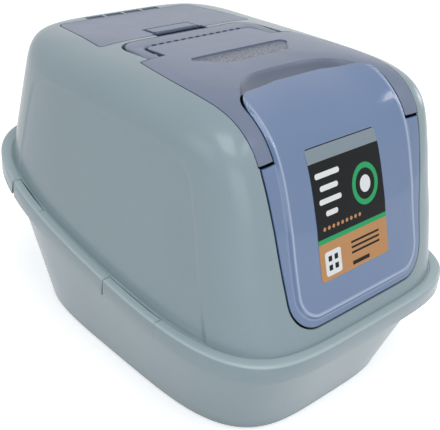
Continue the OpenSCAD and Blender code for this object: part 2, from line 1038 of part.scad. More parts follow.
module filter_grille() {
    bars = 9;
    color(slate)
        on_roof()
            translate([-tub_w/2 + 10 + filter_w/2, -4, lip_top - tub_depth + tub_wall])
                difference() {
                    union() {
                        block(filter_w + 3, filter_l + 3, 2);
                        block(filter_w + 3, filter_l + 3, filter_t + 2);
                    }
                    translate([0, 0, 2])
                        block(filter_w + 0.6, filter_l + 0.6, filter_t + 1);
                    for (k = [0:bars - 1])
                        translate([(k - (bars - 1)/2)*(filter_w - 14)/bars, 0, -1])
                            block((filter_w - 14)/bars - 3, filter_l - 16, 4);
                }
}

module carbon_filter() {
    color(charcoal)
        on_roof()
            translate([-tub_w/2 + 10 + filter_w/2, -4, lip_top - tub_depth + tub_wall + 2 + skin_gap])
                block(filter_w, filter_l, filter_t);
}

module litter_scoop() {
    color(slate)
        on_roof()
            translate([tub_w/2 - 4, -4, lip_top - tub_depth + tub_wall + filter_t + 2.2])
                mirror([1, 0, 0]) {
                    difference() {
                        translate([0, -scoop_w/2, 0])
                            cube([scoop_l, scoop_w, 26]);
                        translate([2.4, -scoop_w/2 + 2.4, 2.4])
                            cube([scoop_l, scoop_w - 4.8, 26]);
                        for (k = [-3:3])
                            translate([14, k*12 - 3, -1])
                                cube([scoop_l - 24, 6, 5]);
                    }
                    scoop_handle();
                }
}

module scoop_handle() {
    translate([scoop_l - 0.2, -11, 0])
        cube([tub_w - scoop_l - 10, 22, 3]);
}

module clip_left_front() { color(sage) mirror([1, 0, 0]) clip(clip_front, clip_front_end); }
module clip_left_rear() { color(sage) mirror([1, 0, 0]) clip(clip_rear, clip_rear_end); }
module clip_right_front() { color(sage) clip(clip_front, clip_front_end); }
module clip_right_rear() { color(sage) clip(clip_rear, clip_rear_end); }

module clip_pins() {
    color(steel)
        for (m = [0, 1])
            mirror([m, 0, 0]) {
                clip_pin(clip_front, clip_front_end, clip_pin_r);
                clip_pin(clip_rear, clip_rear_end, clip_pin_r);
            }
}

tray();
hood();
visor();
visor_hinge_ears();
swing_door();
door_hinge_lugs();
door_bearings();
door_label();
carry_handle();
handle_pins();
pin_bosses();
storage_lid();
lid_hinge_eyes();
lid_hinge_rod();
lid_latch();
compartment_tub();
filter_grille();
carbon_filter();
litter_scoop();
clip_left_front();
clip_left_rear();
clip_right_front();
clip_right_rear();
clip_pins();
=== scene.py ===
# Hooded litter box with a lifting visor, a smoked swing door, a flush carry handle and a lidded filter
# compartment. Each section dresses one moulding, in the order in which the box is put together.
import math

import bpy
import numpy as np
from mathutils import Euler, Matrix, Vector


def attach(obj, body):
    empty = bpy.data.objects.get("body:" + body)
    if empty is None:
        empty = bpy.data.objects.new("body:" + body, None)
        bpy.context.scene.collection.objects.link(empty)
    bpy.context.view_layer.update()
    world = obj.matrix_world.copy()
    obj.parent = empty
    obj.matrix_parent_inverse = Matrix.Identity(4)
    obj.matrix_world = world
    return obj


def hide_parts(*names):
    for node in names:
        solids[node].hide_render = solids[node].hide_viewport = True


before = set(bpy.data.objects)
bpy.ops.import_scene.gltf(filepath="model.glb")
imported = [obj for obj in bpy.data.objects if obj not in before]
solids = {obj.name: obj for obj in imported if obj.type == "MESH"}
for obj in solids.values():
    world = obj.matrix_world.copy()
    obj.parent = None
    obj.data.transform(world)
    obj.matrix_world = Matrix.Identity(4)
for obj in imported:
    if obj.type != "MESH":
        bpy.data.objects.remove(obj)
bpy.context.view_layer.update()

# ---------------------------------------------------------------------------------------------- tray
# The litter pan is one injection moulding in sage-grey recycled polypropylene. Its wall tapers down to a
# rounded foot, and its rim follows the rising ledge, where the hood stands on it.
HALF_W, HALF_L, SQUARE = 232, 312.5, 4.8    # the foot of the hood's wall, and the power of its outline
SKIRT_OUT, RIM_OUT = 16, 11.4               # the skirt and the tray's rim stand out from that foot
LEDGE_Z, LEDGE_RISE, LEDGE_BEND = 174, 102, -200
LEDGE_RUN = HALF_L + SKIRT_OUT - LEDGE_BEND
FOOT_W, FOOT_L, FOOT_Y, FOOT_R, FOOT_SQUARE = 196, 268, -5, 10, 4
TRAY_WALL = 3
RIM_PROFILE = ((2.0, -14.0), (0.8, -13.1), (0.1, -12.2), (0, -11), (0, -7.3), (0.3, -6.6), (1, -6.3), (5.2, -6.3),
               (6.2, -6.6), (6.6, -7.6), (9, -17.3))

# Directions round the box in degrees, four times as close where the outline bends tightest.
EVERY, TIGHT = 1.25, ((28, 46), (134, 152), (206, 227), (313, 334))
even = np.arange(0, 360, EVERY)
close = [even[(even >= a) & (even < b)][:, None] + EVERY*np.array([0.25, 0.5, 0.75]) for a, b in TIGHT]
AROUND = np.radians(np.sort(np.concatenate([even] + [part.ravel() for part in close])))


def squared(power, q):
    """A point of the squared outline of half sizes 1, in the direction q."""
    c, s = np.cos(q), np.sin(q)
    r = (np.abs(c)**power + np.abs(s)**power)**(-1/power)
    return c*r, s*r


def ledge_height(y):
    return LEDGE_Z + LEDGE_RISE*(np.maximum(0, y - LEDGE_BEND)/LEDGE_RUN)**2


def ledge_ring(a, b, rise):
    x, y = squared(SQUARE, AROUND)
    return np.stack([a*x, b*y, ledge_height(b*y) + rise], -1)


def rim_ring(inset, rise):
    return ledge_ring(HALF_W + RIM_OUT - inset, HALF_L + RIM_OUT - inset, rise)


def foot_turn(wall, start, end):
    """Rings over the rounded foot from one angle to another, moved in by the thickness of a wall."""
    x, y = squared(FOOT_SQUARE, AROUND)
    rings = []
    for t in np.radians(np.linspace(start, end, 8)):
        out = FOOT_R*math.cos(t) - FOOT_R
        z = FOOT_R + wall + FOOT_R*math.sin(t)
        rings.append(np.stack([(FOOT_W - wall + out)*x, (FOOT_L - wall + out)*y + FOOT_Y, np.full_like(x, z)], -1))
    return rings


def between(start, end, rows=26):
    """Even rings from start to end, without start itself."""
    return [start + (end - start)*k/rows for k in range(1, rows + 1)]


def smooth(mesh, crease):
    """Smooth shading; edges that turn by more than crease degrees stay crisp."""
    mesh.shade_smooth()
    mesh.set_sharp_from_angle(angle=math.radians(crease))


def moulding(name, points, faces, crease=35):
    """A smooth-shaded piece from points in millimetres."""
    mesh = bpy.data.meshes.new(name)
    mesh.from_pydata((np.asarray(points, float)*0.001).tolist(), [], [list(map(int, f)) for f in faces])
    mesh.validate()
    smooth(mesh, crease)
    piece = bpy.data.objects.new(name, mesh)
    bpy.context.scene.collection.objects.link(piece)
    return piece


def loft(name, rings):
    """A closed body through rings of points, with a fan over the first and the last."""
    rings = np.array(rings)
    k, m = rings.shape[:2]
    i = np.arange(m)
    j = (i + 1) % m
    row = (np.arange(k - 1)*m)[:, None]
    sides = np.stack([row + i, row + j, row + m + j, row + m + i], -1).reshape(-1, 4)
    first, last = k*m, k*m + 1
    fans = [[first, b, a] for a, b in zip(i, j)]
    fans += [[last, (k - 1)*m + a, (k - 1)*m + b] for a, b in zip(i, j)]
    points = np.concatenate([rings.reshape(-1, 3), [rings[0].mean(0)], [rings[-1].mean(0)]])
    return moulding(name, points, sides.tolist() + fans)


def node(tree, kind, values={}, **settings):
    """A shader node with its settings, and its sockets filled or linked."""
    made = tree.nodes.new(kind)
    for key, value in settings.items():
        setattr(made, key, value)
    for key, value in values.items():
        if isinstance(value, bpy.types.NodeSocket):
            tree.links.new(value, made.inputs[key])
        else:
            made.inputs[key].default_value = value
    return made


def reckon(tree, how, *terms):
    """The result of one sum on sockets and numbers."""
    return node(tree, "ShaderNodeMath", dict(enumerate(terms)), operation=how).outputs[0]


def noise(tree, place, scale, detail, rough=0.5):
    values = {"Vector": place, "Scale": scale, "Detail": detail, "Roughness": rough}
    return node(tree, "ShaderNodeTexNoise", values).outputs["Fac"]


def spread(tree, value, low, high):
    """The value with low to high stretched over 0 to 1."""
    return node(tree, "ShaderNodeMapRange", {"Value": value, "From Min": low, "From Max": high}).outputs[0]


def blend(tree, share, first, second):
    """A colour between two, which are linear colours or sockets."""
    first, second = (c if isinstance(c, bpy.types.NodeSocket) else (*c, 1) for c in (first, second))
    return node(tree, "ShaderNodeMix", {"Factor": share, 6: first, 7: second}, data_type="RGBA").outputs[2]


def effect(name, inputs, outputs):
    """An empty node group; inputs are (name, default), outputs are names of values."""
    tree = bpy.data.node_groups.new(name, "ShaderNodeTree")
    for label, default in inputs:
        socket = tree.interface.new_socket(label, in_out="INPUT", socket_type="NodeSocketFloat")
        socket.default_value = default
    for label in outputs:
        tree.interface.new_socket(label, in_out="OUTPUT", socket_type="NodeSocketFloat")
    return tree, tree.nodes.new("NodeGroupInput").outputs, tree.nodes.new("NodeGroupOutput").inputs


def moulded_grain():
    """Satin moulded plastic: orange-peel height, cloudy shade, flecks of regrind and uneven gloss."""
    tree, given, result = effect("moulded_grain", [("Peel Scale", 260.0), ("Fleck Amount", 0.5), ("Gloss", 0.34)],
                                 ["Height", "Shade", "Fleck", "Roughness"])
    place = node(tree, "ShaderNodeTexCoord").outputs["Object"]
    peel = noise(tree, place, given["Peel Scale"], 3.0)
    fine = noise(tree, place, 2600.0, 1.0)
    cloud = noise(tree, place, 7.0, 4.0, 0.6)
    spot = noise(tree, place, 1500.0, 1.0)
    smear = noise(tree, place, 38.0, 3.0)
    uneven = reckon(tree, "MULTIPLY_ADD", smear, 0.10, given["Gloss"])
    made = {"Height": reckon(tree, "MULTIPLY_ADD", fine, 0.35, peel),
            "Shade": spread(tree, cloud, 0.3, 0.7),
            "Fleck": reckon(tree, "MULTIPLY", spread(tree, spot, 0.66, 0.78), given["Fleck Amount"]),
            "Roughness": reckon(tree, "SUBTRACT", uneven, 0.05)}
    for label, socket in made.items():
        tree.links.new(socket, result[label])
    return tree


GRAIN = moulded_grain()


def blank(name):
    """A new material and its empty node tree."""
    material = bpy.data.materials.new(name)
    material.use_nodes = True
    material.node_tree.nodes.clear()
    return material, material.node_tree


def plastic(name, pale, deep, gloss=0.34, peel=260.0, relief=0.12, edge=0.0011, flecks=0.5, **more):
    """A moulded plastic between two linear colours, with rounded edges and the shared grain."""
    material, tree = blank(name)
    grain = node(tree, "ShaderNodeGroup", {"Peel Scale": peel, "Fleck Amount": flecks, "Gloss": gloss},
                 node_tree=GRAIN).outputs
    cloudy = blend(tree, grain["Shade"], deep, pale)
    flecked = blend(tree, grain["Fleck"], cloudy, [0.6*c for c in deep])
    rounded = node(tree, "ShaderNodeBevel", {"Radius": edge}, samples=6)
    bump = node(tree, "ShaderNodeBump", {"Strength": relief, "Distance": 0.0006, "Height": grain["Height"],
                                         "Normal": rounded.outputs[0]})
    body = node(tree, "ShaderNodeBsdfPrincipled", {"Base Color": flecked, "Roughness": grain["Roughness"],
                                                   "Normal": bump.outputs[0], "IOR": 1.49, **more})
    node(tree, "ShaderNodeOutputMaterial", {"Surface": body.outputs[0]})
    return material


def shader_inputs(material):
    return next(n for n in material.node_tree.nodes if n.type == "BSDF_PRINCIPLED").inputs


def tint_and_painted_light(material, mask, tone, amount):
    """Mixes a tone into a plastic's colour where a mask painted on the mesh says so; it adds the grip's speckle, and
    painted highlights and painted shade.
    """
    tree = material.node_tree
    colour = shader_inputs(material)["Base Color"]
    where = node(tree, "ShaderNodeAttribute", attribute_name=mask).outputs["Fac"]
    share = reckon(tree, "MULTIPLY", where, amount)
    tree.links.new(blend(tree, share, colour.links[0].from_socket, tone), colour)


def corners(piece):
    """The corners of a piece's mesh, in millimetres."""
    flat = np.zeros(len(piece.data.vertices)*3)
    piece.data.vertices.foreach_get("co", flat)
    return flat.reshape(-1, 3)*1000


def paint(piece, name, values):
    """Keeps a mask on the mesh, for the material."""
    layer = piece.data.attributes.new(name, "FLOAT", "POINT")
    layer.data.foreach_set("value", np.asarray(values, np.float32))


def paint_ledge_highlight(piece):
    """Paints a highlight on the flat of the ledge, its roll and the groove at the wall's foot: the mask mixes a paler
    sage in there.
    """
    x, y, z = corners(piece).T
    drop = ledge_height(y) - z
    out = (np.abs(x)/(HALF_W + 1))**SQUARE + (np.abs(y)/(HALF_L + 1))**SQUARE
    paint(piece, "painted_ledge_highlight", np.clip(1.2 - np.maximum(0, drop - 1.5)/1.6, 0, 1)*(out > 1)*(drop > -0.6))


SAGE = plastic("sage_recycled_plastic", (0.264, 0.338, 0.374), (0.252, 0.325, 0.361), gloss=0.22, edge=0.0016)
# The ledge mask paints a highlight: a paler sage over the ledge's flat, roll and groove.
tint_and_painted_light(SAGE, "painted_ledge_highlight", (0.42, 0.51, 0.53), 0.85)


def dress(piece, body, slot, material, *replaced):
    """Gives a piece its finish, its body and the construction solids that it stands for."""
    piece.data.materials.clear()
    piece.data.materials.append(material)
    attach(piece, body)
    if replaced:
        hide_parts(*replaced)
    return piece


def tray_rings():
    """Up the outside from the foot, over the rim, and down the inside to the floor."""
    rings = foot_turn(0, -90, 0)
    rings += between(rings[-1], rim_ring(7, -17.3))
    rings += [rim_ring(inset, rise) for inset, rise in RIM_PROFILE]
    inside = foot_turn(TRAY_WALL, 0, -90)
    return rings + between(rings[-1], inside[0]) + inside[1:]


tray = loft("tray_pan", tray_rings())
dress(tray, "tray", "tray_plastic", SAGE, "tray")

# ---------------------------------------------------------------------------------------------- hood
# The hood is one thin sage-grey moulding: ledge and skirt over the tray's rim, leaning walls with a shallow
# arched panel on each side, and a roof that falls to the back, pierced for visor, door, handle and lid.
SKIN = 3
ROOF_Z, ROOF_SLOPE, BEND_Y, BEND = 474.5, 0.067, -60, 60
# Of sides, front and back: the height of the shoulder, and the powers of its turn across and up.
SIDE, FRONT, BACK, CORNER_POWER = (380, 4.2, 4.4), (316, 3.2, 4.3), (412, 20, 3.9), 7.5
SIDE_LEAN, FRONT_LEAN, BACK_LEAN, FRONT_HOLLOW, FRONT_SQUARE = 12, 50, 30, 3, 6
TURNS = np.concatenate([np.arcsin(np.linspace(0.04, 0.96, 26)**2.2), np.arccos(np.linspace(0.64, 0.02, 32)**2.1)])
STEEPS = np.linspace(0, 1, 34)
AHEAD, SKY = -400, 900      # where cutters end in front of the box and above it


def roof_fall(y):
    """How far the middle of the roof lies below its flat front part."""
    past = y - BEND_Y
    return ROOF_SLOPE*(past + np.sqrt(past**2 + BEND**2))/2


def roof_z(y):
    return ROOF_Z - float(roof_fall(y))


def mix(a, b, w):
    return a + (b - a)*w


def skin_point(off, q, s, turn):
    """The hood's outer form, moved out by off: s runs up the wall, turn goes over the shoulder."""
    py = squared(SQUARE, q)[1]
    front = py < 0
    w = np.abs(py)**CORNER_POWER
    foot = ledge_height((HALF_L + off)*py)
    shoulder, flat, high = (mix(a, np.where(front, b, c), w) for a, b, c in zip(SIDE, FRONT, BACK))
    h, f = np.sin(turn)**(2/high), np.cos(turn)**(2/flat)
    z = np.where(turn == 0, mix(foot, shoulder, s), shoulder + (ROOF_Z + off - shoulder)*h)
    lean = (z - foot)/(shoulder - foot)
    up = np.minimum(1, lean)
    ox, oy = squared(np.where(front, mix(SQUARE, FRONT_SQUARE, np.minimum(1, 2*up)), SQUARE), q)
    hollow = np.where(front, FRONT_HOLLOW*np.sin(np.pi*up), 0)
    y = (HALF_L + off - np.where(front, FRONT_LEAN, BACK_LEAN)*lean - hollow)*f*oy
    return np.stack([(HALF_W + off - SIDE_LEAN*lean)*f*ox, y, z - roof_fall(y)*h**4], -1)


def step(distance, width):
    """A smooth step from 1 inside an outline to 0 outside it, over width."""
    t = np.clip(0.5 - distance/width, 0, 1)
    return t*t*(3 - 2*t)


def side_panel(points):
    """How far the arched panel of each side wall sinks in at these points."""
    x, y, z = np.abs(points[..., 0]), points[..., 1], points[..., 2]
    up, radius = z - 331, 17
    front, top, rear = (-185 + up*0.243 - y)*0.97, z - 412, (y - 205 + up*0.2)*0.97
    distance = radius*np.log(sum(np.exp(np.clip(e, -400, 200)/radius) for e in (front, top, rear)))
    fading = np.clip(1.5 - np.maximum(0, y + 150)/260, 0.6, 1.5)
    return 1.6*step(distance, 5.5)*np.where(x > 120, 1, 0)*fading


def skin_rings(off, relief=False):
    rows = [(s, 0.0) for s in STEEPS] + [(1.0, t) for t in TURNS]
    rings = []
    for s, turn in rows:
        ring = skin_point(off, AROUND, s, np.full_like(AROUND, turn))
        if relief:
            ring = skin_point(off - side_panel(ring), AROUND, s, np.full_like(AROUND, turn))
        rings.append(ring)
    return rings


def skin_solid(off, under=0):
    rings = skin_rings(off)
    if under:
        rings.insert(0, rings[0] - [0, 0, under])
    return loft("cutter", rings)


def prism(outline, low, high, along=None):
    """A block of an outline in x and y from low to high, or with along="y" an outline in x and z."""
    n = len(outline)
    flat = np.array(outline, float)
    if along == "y":
        low, high = -high, -low
    points = np.concatenate([np.column_stack([flat, np.full(n, low)]), np.column_stack([flat, np.full(n, high)])])
    if along == "y":
        points = np.stack([points[:, 0], -points[:, 2], points[:, 1]], -1)
    faces = [list(range(n))[::-1], list(range(n, 2*n))]
    faces += [[i, (i + 1) % n, (i + 1) % n + n, i + n] for i in range(n)]
    return moulding("cutter", points, faces)


def box(x0, y0, z0, x1, y1, z1):
    return prism([(x0, y0), (x1, y0), (x1, y1), (x0, y1)], z0, z1)


def hull(points):
    """The corners of the tightest outline round points, counter-clockwise."""
    points = sorted(set((round(float(x), 5), round(float(y), 5)) for x, y in points))

    def half(row):
        out = []
        for p in row:
            while len(out) > 1 and ((out[-1][0] - out[-2][0])*(p[1] - out[-2][1])
                                    - (out[-1][1] - out[-2][1])*(p[0] - out[-2][0])) <= 0:
                out.pop()
            out.append(p)
        return out[:-1]
    return half(points) + half(points[::-1])


def circle(x, y, radius, sides):
    turn = np.radians(np.arange(sides)*360/sides)
    return [(x + radius*c, y + radius*s) for c, s in zip(np.cos(turn), np.sin(turn))]


def discs(*centres):
    """Points of circles given as (x, y, radius), each mirrored in x as well."""
    return [point for x, y, radius in centres for m in (-1, 1) for point in circle(m*x, y, radius, 64)]


def corner_arc(x, y, radius, start, end, count=14):
    return [(x + radius*math.cos(t), y + radius*math.sin(t)) for t in np.radians(np.linspace(start, end, count))]


def carve(piece, tool, how="DIFFERENCE"):
    """Cuts piece with tool, or joins or crosses them, and drops the tool."""
    cut = piece.modifiers.new("carve", "BOOLEAN")
    cut.object, cut.operation, cut.solver = tool, how, "MANIFOLD"
    bpy.context.view_layer.update()
    shape = bpy.data.meshes.new_from_object(piece.evaluated_get(bpy.context.evaluated_depsgraph_get()))
    piece.modifiers.clear()
    piece.data = shape
    bpy.data.objects.remove(tool)
    if not len(shape.vertices):
        raise RuntimeError(piece.name + " came out empty")
    return piece


def placed(piece, move=(0, 0, 0), turn=(0, 0, 0)):
    """Turns a piece about its origin (degrees) and moves it (millimetres), in its mesh."""
    turned = Euler([math.radians(t) for t in turn]).to_matrix().to_4x4()
    piece.data.transform(Matrix.Translation(Vector(move)*0.001) @ turned)
    return piece


TILT = math.degrees(math.atan(ROOF_SLOPE))
LID_MID = 176
LID_DEPTH, LIP = 7.6, 2.6       # the lid's seat below the roof, and the thickness of the lip under it


def on_roof(piece, move=(0, 0, 0)):
    """Places a piece in the tilted frame of the lid."""
    return placed(placed(piece, move), (0, LID_MID, roof_z(LID_MID)), (-TILT, 0, 0))


VISOR_FRONT, VISOR_REAR, VISOR_GAP, VISOR_REAR_GAP = -232.0, 17, 1.5, 2.6


def visor_half(y):
    s = np.maximum(y, VISOR_FRONT) + 90
    return 162 - 0.074*s - 0.00057*s*s


def visor_outline(gap, rear):
    ys = np.linspace(VISOR_REAR + rear, VISOR_FRONT, 25)
    right = [(visor_half(y) + gap, y) for y in ys] + [(visor_half(VISOR_FRONT) + gap, AHEAD)]
    return [(-x, y) for x, y in right] + right[::-1]


def sill_outline(half, low, radius, taper, top=SKY):
    """A U with rounded lower corners that narrows by taper, seen from the front."""
    points = discs((half - taper - radius, low + radius, radius)) + [(-half, 400), (half, 400)]
    return hull(points + [(-half, top), (half, top)])


def lid_outline(gap):
    return hull(discs((142, 114, max(0.3, 5 + gap)), (119, 231, 12 + gap)))


# The roll of the ledge's edge and the hem of its skirt: distance out from the wall's foot, and height.
ROLL_R = 3.8
ROLL = [(SKIRT_OUT - ROLL_R + ROLL_R*math.sin(t), -ROLL_R + ROLL_R*math.cos(t))
        for t in np.radians(np.linspace(90, 0, 9))]
HEM = [(15, -28), (15.7, -27.6), (SKIRT_OUT, -27)]
GROOVE = [(3.0, 0), (2.4, -0.3), (2.0, -1.3), (0.5, -1.3)]


def beside_wall(out, rise):
    return ledge_ring(HALF_W + out, HALF_L + out, rise)


def hood_rings():
    """Down the inside, out under the ledge, round the skirt and up the outside."""
    under = [beside_wall(out, rise) for out, rise in ((-SKIN, -6), (11, -6), (12.6, -6.5), (13, -8))]
    skirt = [beside_wall(out, rise) for out, rise in [(13, -28)] + HEM + ROLL + GROOVE]
    outer = skin_rings(0, relief=True)
    fillet = [mix(skirt[-1], outer[0], 0.6) + [0, 0, 0.1]]
    return skin_rings(-SKIN)[::-1] + under + skirt + fillet + outer[1:]


hood = loft("hood_shell", hood_rings())

# The handle's well and the finger hollow hang from the roof as cups, and a stepped lip carries the lid.
JOIN = -0.5     # pieces joined to the hood end this far inside its outer face
WELL_W, WELL_FRONT, WELL_REAR, WELL_Z, WELL_R = 133.5, 16, 99.5, 431.5, 30
cup = box(-WELL_W - SKIN, WELL_FRONT - SKIN, WELL_Z - SKIN, WELL_W + SKIN, WELL_REAR + SKIN, SKY)
carve(hood, carve(skin_solid(JOIN), cup, "INTERSECT"), "UNION")
lip = carve(skin_solid(JOIN), prism(lid_outline(4.8), 300, SKY), "INTERSECT")
carve(lip, on_roof(box(-300, -300, -LID_DEPTH - LIP, 300, 300, 300)), "INTERSECT")
above = on_roof(box(-300, -300, -LID_DEPTH, 300, 300, 300))
carve(lip, carve(prism(lid_outline(1.8), 300, SKY), above, "INTERSECT"))
carve(lip, prism(lid_outline(-7), 200, SKY))
carve(lip, carve(prism(lid_outline(0), 300, SKY), on_roof(box(-300, 60, -300, 300, 74, 300)), "INTERSECT"))
carve(hood, prism(lid_outline(1.8), 400, SKY))
carve(hood, lip, "UNION")
FINGER_W, FINGER_Z = 50, roof_z(109.0) - LID_DEPTH
cup = box(-FINGER_W - SKIN, 99.5, FINGER_Z - SKIN, FINGER_W + SKIN, 107.3, SKY)
carve(hood, carve(skin_solid(JOIN), cup, "INTERSECT"), "UNION")
carve(hood, box(-FINGER_W, 98.5, FINGER_Z, FINGER_W, 110, SKY))

# The mouth for visor and door is the door's U below its top, and the visor's outline above.
MOUTH_W, MOUTH_Z, MOUTH_R, MOUTH_TAPER, MOUTH_TOP = 161, 191, 50, 17, 409
mouth = prism(visor_outline(VISOR_GAP, VISOR_REAR_GAP), 100, SKY)
lower = [p for p in sill_outline(MOUTH_W, MOUTH_Z, MOUTH_R, MOUTH_TAPER, MOUTH_TOP) if p[1] < MOUTH_TOP]
right = [(MOUTH_W, MOUTH_TOP), (200, MOUTH_TOP), (200, SKY)]
upper = right + [(-x, z) for x, z in right[::-1]]
carve(mouth, prism(lower + upper, AHEAD, VISOR_REAR + VISOR_REAR_GAP, "y"), "INTERSECT")
carve(hood, mouth)
x, y = WELL_W - WELL_R, WELL_REAR - WELL_R
well_rear = corner_arc(x, y, WELL_R, 0, 90) + corner_arc(-x, y, WELL_R, 90, 180)
carve(hood, prism([(-WELL_W, WELL_FRONT), (WELL_W, WELL_FRONT)] + well_rear, WELL_Z, SKY))
ROD_Y = 252
ROD_Z = roof_z(ROD_Y) - 5
SLOTS = [k*37.5 for k in (-1.5, -0.5, 0.5, 1.5)]
for x in SLOTS:
    carve(hood, box(x - 16.5, ROD_Y - 10, ROD_Z - 9, x + 16.5, ROD_Y + 5.5, ROD_Z + 31))


def side_half(y):
    return HALF_W*(1 - (np.abs(y)/HALF_L)**SQUARE)**(1/SQUARE)


def wall_foot(y):
    """The foot of the right wall at y."""
    return np.array([side_half(y), y, ledge_height(y)])


CLIP_SPANS, CLIP_GAP = {"front": (-150, -38), "rear": (130, 204)}, 0.6


def clip_room(y0, y1, mirror):
    """The gap for a clip in ledge and skirt, as a block along the ledge between y0 and y1."""
    a, b = wall_foot(y0), wall_foot(y1)
    d = b - a
    half = (np.linalg.norm(d) + 2*CLIP_GAP)/2
    pitch = math.degrees(math.atan2(d[2], math.hypot(d[0], d[1])))
    block = placed(box(2, -half, -36, 26, half, 8), (a + b)/2, (pitch, 0, -math.degrees(math.atan2(d[0], d[1]))))
    if mirror:
        block.data.transform(Matrix.Scale(-1, 4, (1, 0, 0)))
        block.data.flip_normals()
    return block


for mirror in (False, True):
    for y0, y1 in CLIP_SPANS.values():
        carve(hood, clip_room(y0, y1, mirror))
smooth(hood.data, 32)
# The ledge of the hood gets its painted highlight mask.
paint_ledge_highlight(hood)
dress(hood, "hood", "hood_plastic", SAGE, "hood")

# ---------------------------------------------------------------------------------------- side clips
# Four sage clips finish the ledge and skirt flush. Each turns on a steel pin in a knuckle at its inner
# edge, and a toe inside its skirt hooks under the tray's rim.
STEEL = plastic("drawn_steel", (0.52, 0.53, 0.55), (0.44, 0.45, 0.47), gloss=0.26, relief=0.05, edge=0.0003,
                flecks=0.1, Metallic=1.0)


def finish(material, *names):
    """Gives construction solids that stay in view their finish."""
    for name in names:
        solids[name].data.materials.clear()
        solids[name].data.materials.append(material)


def clip_profile():
    """A clip in section, in the measures of the ledge's roll: roll, hem, toe and the knuckle's eye."""
    toe = [(13.6, -28), (13, -27.4), (13, -24), (11.9, -23.8), (11.7, -23.2), (11.7, -19.8), (11.9, -19.2),
           (13, -19)]
    inside = [(13, -5), (12.5, -3.7), (11.3, -3.1)]
    eye = [(5.4 + 2.8*math.cos(t), -2.8 + 2.8*math.sin(t)) for t in np.radians(np.linspace(-8, -270, 18))]
    return ROLL[::-1] + HEM[::-1] + toe + inside + eye


def sweep(name, sections, mirror=False):
    """A body through equal closed sections, flat at both ends."""
    sections = np.array(sections)
    k, m = sections.shape[:2]
    i = np.arange(m)
    j = (i + 1) % m
    row = (np.arange(k - 1)*m)[:, None]
    faces = np.stack([row + i, row + m + i, row + m + j, row + j], -1).reshape(-1, 4).tolist()
    faces += [list(range(m)), list(range((k - 1)*m, k*m))[::-1]]
    points = sections.reshape(-1, 3)
    if mirror:
        points = points*[-1, 1, 1]
        faces = [f[::-1] for f in faces]
    return moulding(name, points, faces)


for end, (y0, y1) in CLIP_SPANS.items():
    for side, mirror in (("left", True), ("right", False)):
        sections = []
        for y in np.linspace(y0 + CLIP_GAP, y1 - CLIP_GAP, 25):
            dx = side_half(y + 0.5) - side_half(y - 0.5)
            out = np.array([1, -dx, 0])/math.hypot(1, dx)
            sections.append([wall_foot(y) + out*u + [0, 0, v] for u, v in clip_profile()])
        name = "clip_%s_%s" % (side, end)
        clip = sweep("side_" + name, sections, mirror)
        # The clip's share of the ledge gets the same painted highlight mask.
        paint_ledge_highlight(clip)
        dress(clip, name, "hood_plastic", SAGE, name)
finish(STEEL, "clip_pins")

# --------------------------------------------------------------------------------------------- visor
# The slate-blue visor is a saddle over the front of the roof, with a tongue between the handle's legs and
# a cheek down each side of the door. An arched hollow frees the door's top edge, and a grained lens-shaped
# grip lies behind it. It turns on two ears.
PIVOT_Y, PIVOT_Z, DOOR_LEAN = -214, 418, -30
EAR, BEARING = (98.5, 103.5), (136, 147)
ARCH_Y, ARCH_DROP, ARCH_HALF = -99, 45, 118
PANEL_W, PANEL_Z, PANEL_R, PANEL_TAPER, PANEL_TOP = 133, 203, 40, 4, -134   # the door's raised panel
SLATE = plastic("slate_recycled_plastic", (0.164, 0.201, 0.295), (0.154, 0.190, 0.282), gloss=0.3)


def roof_height(x, y, off=0.0):
    """Height of the front of the roof over x and y, found by halving."""
    near, far = np.zeros_like(x), np.full_like(x, 1.0)
    a, b = np.full_like(x, 208.0), np.full_like(x, 208.0)
    for _ in range(46):
        f = (near + far)/2
        py = squared(SQUARE, np.arctan2(y/b, x/a))[1]
        w = np.abs(py)**CORNER_POWER
        foot = ledge_height((HALF_L + off)*py)
        shoulder, flat, high = (mix(side, front, w) for side, front in zip(SIDE, FRONT))
        h = (1 - f**flat)**(1/high)
        z = shoulder + (ROOF_Z + off - shoulder)*h
        lean = (z - foot)/(shoulder - foot)
        a, b = HALF_W + off - SIDE_LEAN*lean, HALF_L + off - FRONT_LEAN*lean
        need = (np.abs(x/a)**FRONT_SQUARE + np.abs(y/b)**FRONT_SQUARE)**(1/FRONT_SQUARE)
        near, far = np.where(need > f, f, near), np.where(need > f, far, f)
    return z - roof_fall(y)*h**4


def grid_solid(name, top, bottom, crease=35):
    """A closed body between two grids of points of the same size."""
    top, bottom = np.asarray(top), np.asarray(bottom)
    k, m = top.shape[:2]
    index = np.arange(k*m).reshape(k, m)
    face = np.stack([index[:-1, :-1], index[:-1, 1:], index[1:, 1:], index[1:, :-1]], -1).reshape(-1, 4)
    rim = np.concatenate([index[0, :-1], index[:-1, -1], index[-1, :0:-1], index[:0:-1, 0]])
    after = np.roll(rim, -1)
    walls = np.stack([after, rim, rim + k*m, after + k*m], -1)
    faces = np.concatenate([face, face[:, ::-1] + k*m, walls]).tolist()
    return moulding(name, np.concatenate([top.reshape(-1, 3), bottom.reshape(-1, 3)]), faces, crease)


def arch_line(x):
    return ARCH_Y - ARCH_DROP*(np.abs(x)/ARCH_HALF)**3.3


def hollow_above(drop, back):
    """All that lies over the arched hollow in front of the arch line."""
    x = np.linspace(-126, 126, 127)
    reach = np.concatenate([[-0.6], 70*(np.arange(34)/33)**1.7])
    y = arch_line(x)[None, :] + back - reach[:, None]
    xs = np.broadcast_to(x, y.shape) + 0.0
    sunk = 11*(1 - np.exp(-np.maximum(0, reach)/9))
    sunk[0] = -0.4
    low = np.stack([xs, y, roof_height(xs, y, drop) - sunk[:, None]], -1)
    return grid_solid("cutter", low, np.stack([xs, y, np.full_like(y, 700)], -1))


def panel_outline(gap):
    """The outline of the door's raised panel from above."""
    half, top = PANEL_W + gap, PANEL_TOP + gap
    return hull(discs((half - 34, top - 44, 34)) + [(-half/3, top), (half/3, top), (-half, AHEAD), (half, AHEAD)])


